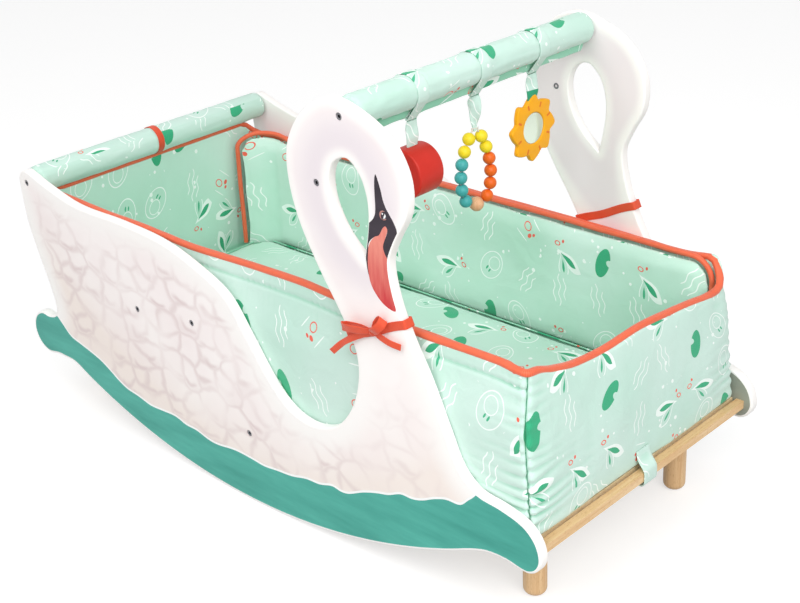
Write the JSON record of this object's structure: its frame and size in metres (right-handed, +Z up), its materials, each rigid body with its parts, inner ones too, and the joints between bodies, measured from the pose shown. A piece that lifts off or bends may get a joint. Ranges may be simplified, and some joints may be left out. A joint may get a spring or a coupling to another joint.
{
  "type": "baby cradle",
  "caption": "Rocking baby cradle: swan-shaped plywood rockers joined by rails and padded bars, a soft tub with bumpers and mattress, removable legs and toys that hang from the head bar",
  "frame": {"origin": "centre of the bounding box at floor level", "axes": "+X from the tail to the breast of the swan, +Y to the left side panel, +Z up"},
  "size_m": [1.0469, 0.524, 0.654],
  "materials": {
    "painted_plywood": "white paint with a printed plumage, satin",
    "oiled_beech": "clear matt oil",
    "birch_plywood": "clear matt lacquer",
    "mint_cotton": "printed padded cotton",
    "coral_ribbon": "woven cotton tape",
    "bolt_steel": "plain zinc",
    "red_lacquer": "water-based lacquer, satin",
    "sun_yellow": "water-based lacquer, satin",
    "mirror_foil": "silvered plastic, polished",
    "white_cord": "braided polyester",
    "yellow_bead": "lacquer, satin",
    "teal_bead": "lacquer, satin",
    "orange_bead": "lacquer, satin",
    "wood_bead": "clear matt oil"
  },
  "bodies": {
    "frame": {"base_board": "birch_plywood", "bolt_cross_rail_breast_left": "bolt_steel", "bolt_cross_rail_breast_right": "bolt_steel", "bolt_cross_rail_middle_left": "bolt_steel", "bolt_cross_rail_middle_right": "bolt_steel", "bolt_cross_rail_tail_left": "bolt_steel", "bolt_cross_rail_tail_right": "bolt_steel", "bolt_neck_left": "bolt_steel", "bolt_neck_right": "bolt_steel", "bolt_tail_bar_left": "bolt_steel", "bolt_tail_bar_right": "bolt_steel", "bolt_top_bar_left": "bolt_steel", "bolt_top_bar_right": "bolt_steel", "bumper_left": "mint_cotton", "bumper_right": "mint_cotton", "cross_rail_breast": "oiled_beech", "cross_rail_middle": "oiled_beech", "cross_rail_tail": "oiled_beech", "foot_rail": "oiled_beech", "leg_breast_left": "oiled_beech", "leg_breast_right": "oiled_beech", "leg_tail_left": "oiled_beech", "leg_tail_right": "oiled_beech", "neck_bow_left": "coral_ribbon", "neck_bow_right": "coral_ribbon", "rail_tab": "mint_cotton", "side_panel_left": "painted_plywood", "side_panel_right": "painted_plywood", "strap_loop_beads": "mint_cotton", "strap_loop_drum": "mint_cotton", "strap_loop_sun": "mint_cotton", "tail_bar": "oiled_beech", "tail_bar_cover": "mint_cotton", "tail_bar_tie": "coral_ribbon", "tail_rail": "oiled_beech", "top_bar": "oiled_beech", "top_bar_cover": "mint_cotton", "tub": "mint_cotton"},
    "drum_toy": {"strap_drum": "mint_cotton", "drum_rattle": "red_lacquer"},
    "bead_strap": {"strap_beads": "mint_cotton"},
    "bead_loop": {"bead_cord": "white_cord", "bead_01": "yellow_bead", "bead_02": "yellow_bead", "bead_03": "orange_bead", "bead_04": "orange_bead", "bead_05": "orange_bead", "bead_06": "orange_bead", "bead_07": "wood_bead", "bead_08": "teal_bead", "bead_09": "teal_bead", "bead_10": "teal_bead", "bead_11": "teal_bead", "bead_12": "yellow_bead", "bead_13": "yellow_bead"},
    "sun_toy": {"strap_sun": "mint_cotton", "sun_ring": "sun_yellow", "mirror": "mirror_foil"},
    "mattress": {"mattress": "mint_cotton"}
  },
  "joints": [
    {"name": "drum_swing", "type": "hinge", "parent": "frame", "child": "drum_toy", "pos_m": [0.224, -0.1245, 0.591], "axis": [0, 1, 0], "range_deg": [-45, 45]},
    {"name": "bead_strap_swing", "type": "hinge", "parent": "frame", "child": "bead_strap", "pos_m": [0.224, -0.003, 0.591], "axis": [0, 1, 0], "range_deg": [-45, 45]},
    {"name": "bead_loop_swing", "type": "hinge", "parent": "bead_strap", "child": "bead_loop", "pos_m": [0.224, -0.003, 0.5473], "axis": [0.2588, 0.9659, 0], "range_deg": [-40, 40]},
    {"name": "sun_swing", "type": "hinge", "parent": "frame", "child": "sun_toy", "pos_m": [0.224, 0.1185, 0.591], "axis": [0, 1, 0], "range_deg": [-45, 45]},
    {"name": "mattress_lift", "type": "slide", "parent": "frame", "child": "mattress", "axis": [0, 0, 1], "range_m": [0, 0.22]}
  ]
}
